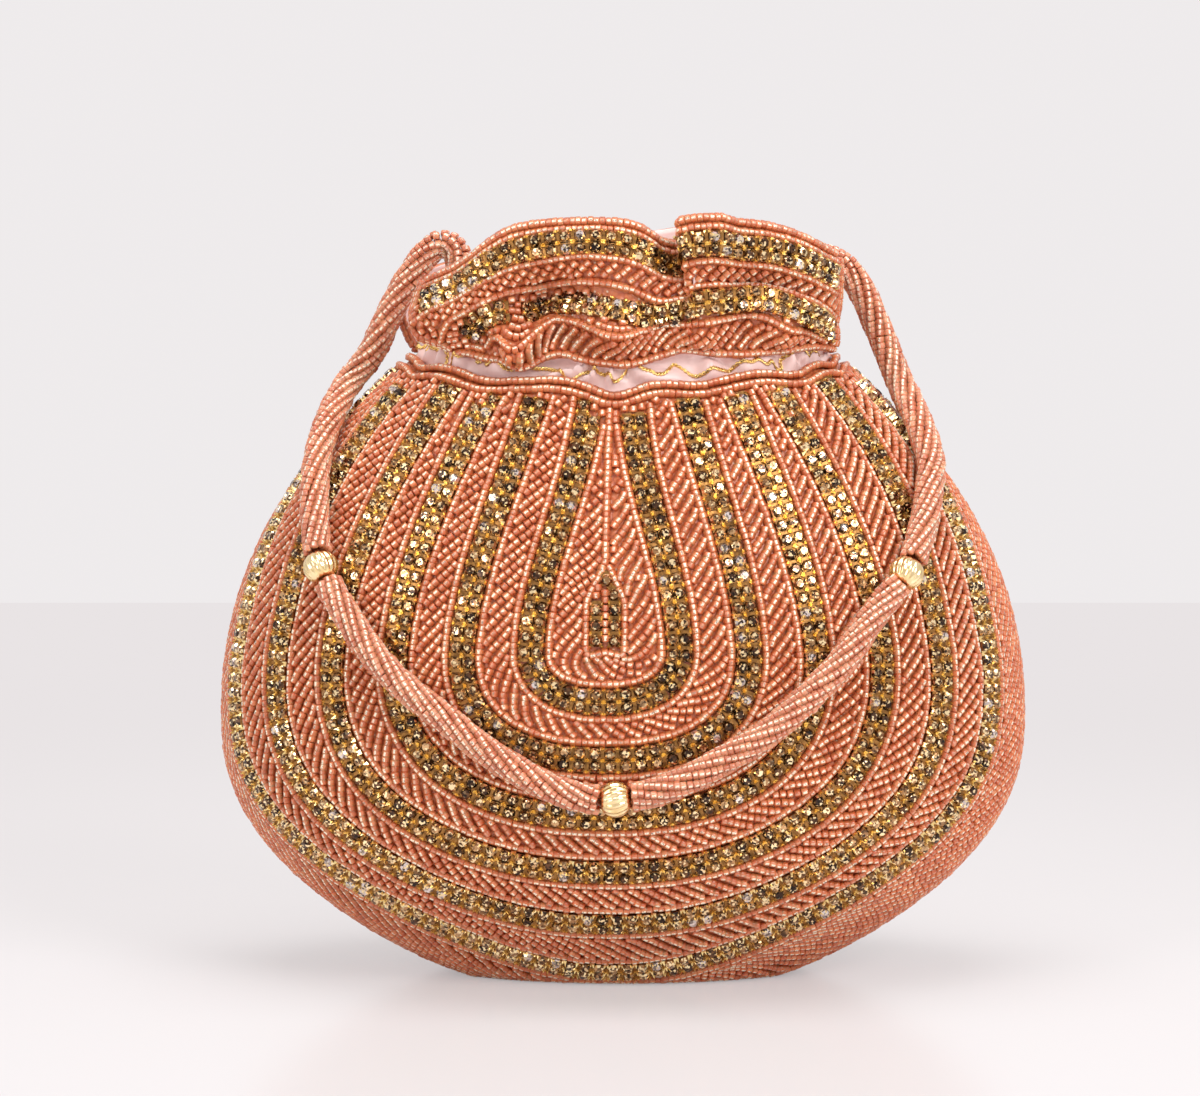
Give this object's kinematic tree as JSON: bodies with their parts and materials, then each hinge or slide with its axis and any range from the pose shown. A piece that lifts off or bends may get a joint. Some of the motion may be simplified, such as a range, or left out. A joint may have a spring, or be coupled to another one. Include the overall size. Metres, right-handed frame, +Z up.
{
  "type": "potli bag",
  "caption": "Gathered drawstring pouch covered in seed beads, with nested loops of cup chain, a beaded frill above a pleated satin neck and a beaded rope handle.",
  "frame": {"origin": "on the surface that the bag stands on, under the middle of its base", "axes": "+X to the right seen from the front and along the bag's width, +Y to the back, +Z up"},
  "size_m": [0.1994, 0.1146, 0.1882],
  "materials": {
    "coral_beading": "silver-lined coral seed beads sewn on satin",
    "pink_satin": "pale pink satin",
    "gilt_cup_chain": "gilt cups with champagne and smoke stones",
    "bead_rope": "twisted strands of seed beads",
    "pale_gold": "polished pale gold"
  },
  "bodies": {
    "root": {"front_panel": "coral_beading", "front_frill": "coral_beading", "front_chain_1": "gilt_cup_chain", "front_chain_2": "gilt_cup_chain", "front_chain_3": "gilt_cup_chain", "front_chain_4": "gilt_cup_chain", "front_chain_5": "gilt_cup_chain", "front_chain_6": "gilt_cup_chain", "front_chain_core": "gilt_cup_chain", "front_frill_chain_upper": "gilt_cup_chain", "front_frill_chain_lower": "gilt_cup_chain", "back_panel": "coral_beading", "back_frill": "coral_beading", "back_chain_1": "gilt_cup_chain", "back_chain_2": "gilt_cup_chain", "back_chain_3": "gilt_cup_chain", "back_chain_4": "gilt_cup_chain", "back_chain_5": "gilt_cup_chain", "back_chain_6": "gilt_cup_chain", "back_chain_core": "gilt_cup_chain", "back_frill_chain_upper": "gilt_cup_chain", "back_frill_chain_lower": "gilt_cup_chain", "satin_lining": "pink_satin", "neck_casing": "pink_satin", "handle_rope_left_end": "bead_rope", "handle_rope_left_drape": "bead_rope", "handle_rope_right_drape": "bead_rope", "handle_rope_right_end": "bead_rope", "handle_bead_left": "pale_gold", "handle_bead_centre": "pale_gold", "handle_bead_right": "pale_gold", "handle_tab_left": "pink_satin", "handle_tab_right": "pink_satin"}
  },
  "joints": []
}
